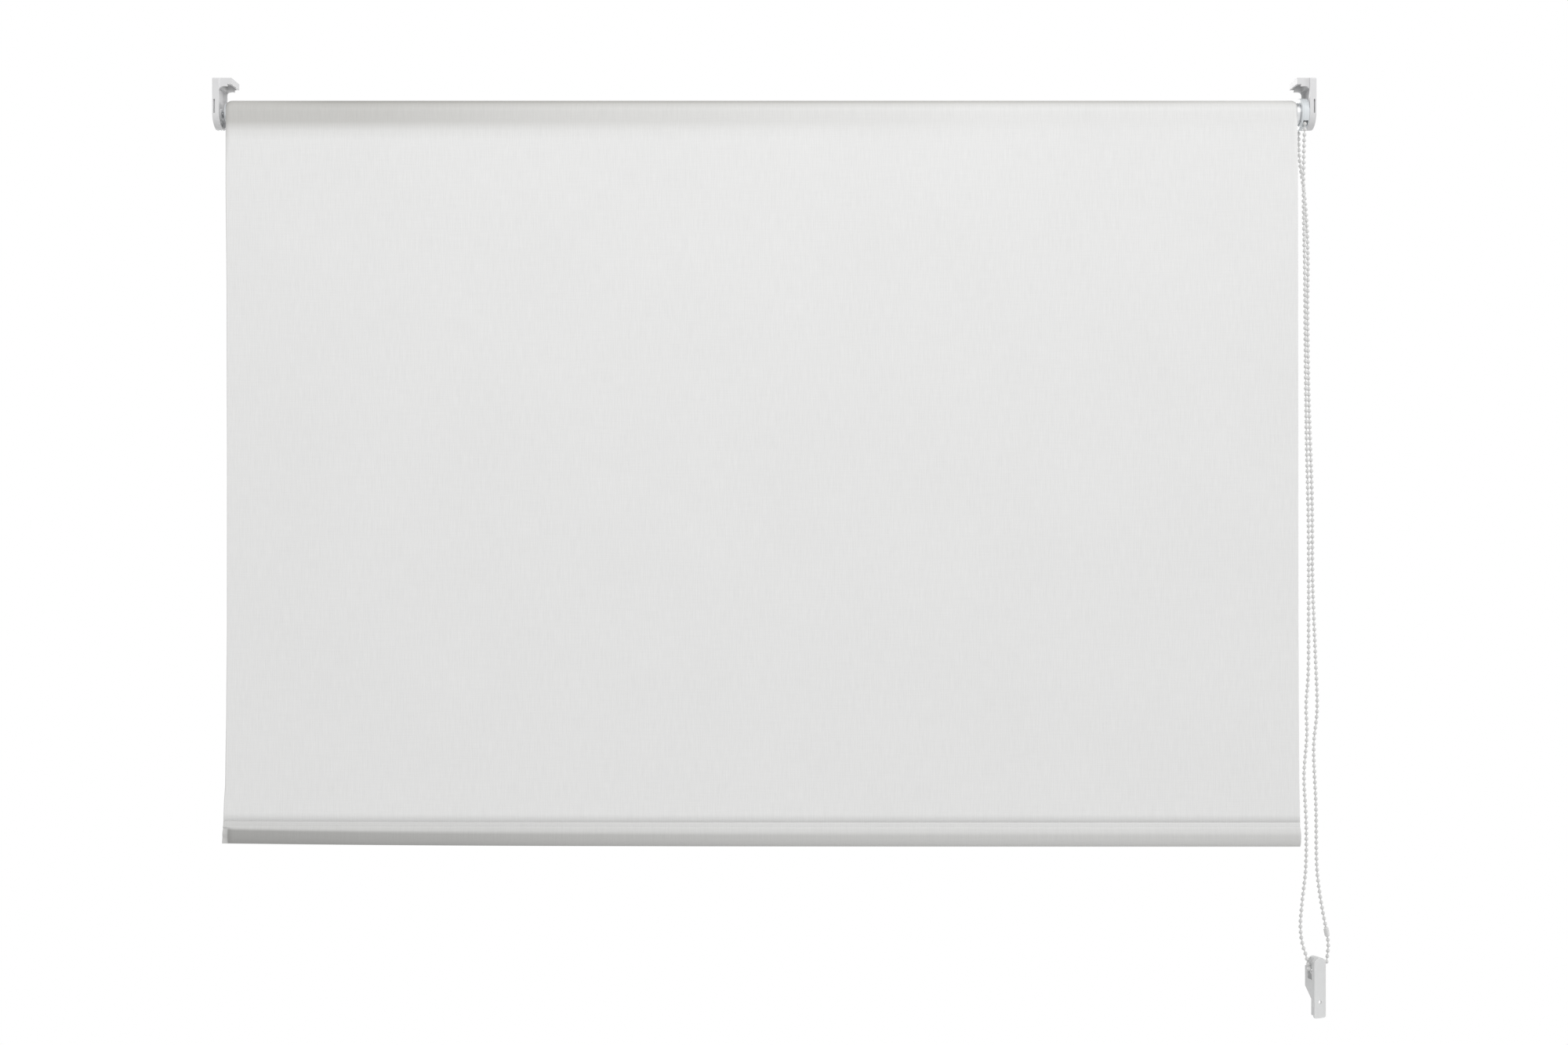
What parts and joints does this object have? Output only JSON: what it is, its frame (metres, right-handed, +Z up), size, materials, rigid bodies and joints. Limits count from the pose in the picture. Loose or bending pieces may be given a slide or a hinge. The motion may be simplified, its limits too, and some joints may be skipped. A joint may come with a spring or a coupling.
{
  "type": "roller blind",
  "caption": "Blackout roller blind: cloth wound on a tube between two end brackets, weighted hem, bead-chain clutch with a looped chain and a clear chain tensioner.",
  "frame": {"origin": "on the top face of the idle bracket, 4.5 mm in from its outer face, over the tube's axis", "axes": "+X along the tube towards the chain clutch, +Z up, the room side at -Y"},
  "size_m": [1.2219, 0.0373, 1.025],
  "materials": {
    "bracket_plastic": "satin moulded",
    "clutch_plastic": "satin moulded",
    "tube_aluminium": "mill finish",
    "pin_steel": "bright",
    "blackout_cloth": "coated, fine linen weave",
    "tape_plastic": "smooth",
    "bar_aluminium": "satin",
    "chain_plastic": "smooth moulded",
    "clear_plastic": "clear, polished"
  },
  "bodies": {
    "root": {"idle_bracket": "bracket_plastic", "chain_bracket": "bracket_plastic", "clutch_housing": "clutch_plastic", "clutch_cover": "clutch_plastic", "clutch_core": "clutch_plastic", "brake_spring_1": "pin_steel", "brake_spring_2": "pin_steel", "core_clip": "pin_steel", "chain_on_wheel": "chain_plastic", "bead_chain": "chain_plastic", "chain_connector": "chain_plastic", "chain_tensioner": "clear_plastic", "tensioner_gate": "clear_plastic", "cloth_panel": "blackout_cloth", "idle_spring": "pin_steel"},
    "roller": {"roller_tube": "tube_aluminium", "wound_cloth": "blackout_cloth", "cloth_tape": "tape_plastic", "chain_wheel": "clutch_plastic", "tube_adapter": "clutch_plastic", "idle_plug": "clutch_plastic", "idle_plug_cap": "clutch_plastic"},
    "hem": {"hem_pocket": "blackout_cloth", "bottom_bar": "bar_aluminium", "bar_cap_idle": "bracket_plastic", "bar_cap_chain": "bracket_plastic"},
    "idle_pin": {"idle_pin": "pin_steel"}
  },
  "joints": [
    {"name": "roller_spin", "type": "hinge", "parent": "root", "child": "roller", "pos_m": [0, 0, -0.037], "axis": [-1, 0, 0], "range_deg": [-1260, 2592], "deforming": ["chain_on_wheel", "bead_chain"]},
    {"name": "hem_lift", "type": "slide", "parent": "root", "child": "hem", "axis": [0, 0, 1], "range_m": [-0.3233, 0.665], "deforming": ["cloth_panel"]},
    {"name": "idle_pin_slide", "type": "slide", "parent": "root", "child": "idle_pin", "axis": [1, 0, 0], "range_m": [0, 0.008], "stiffness_N_per_m": 600, "springref_m": -0.003, "deforming": ["idle_spring"]}
  ],
  "couplings": [
    {"joint": "roller_spin", "follows": "hem_lift", "rad_per_m": 68.03}
  ]
}
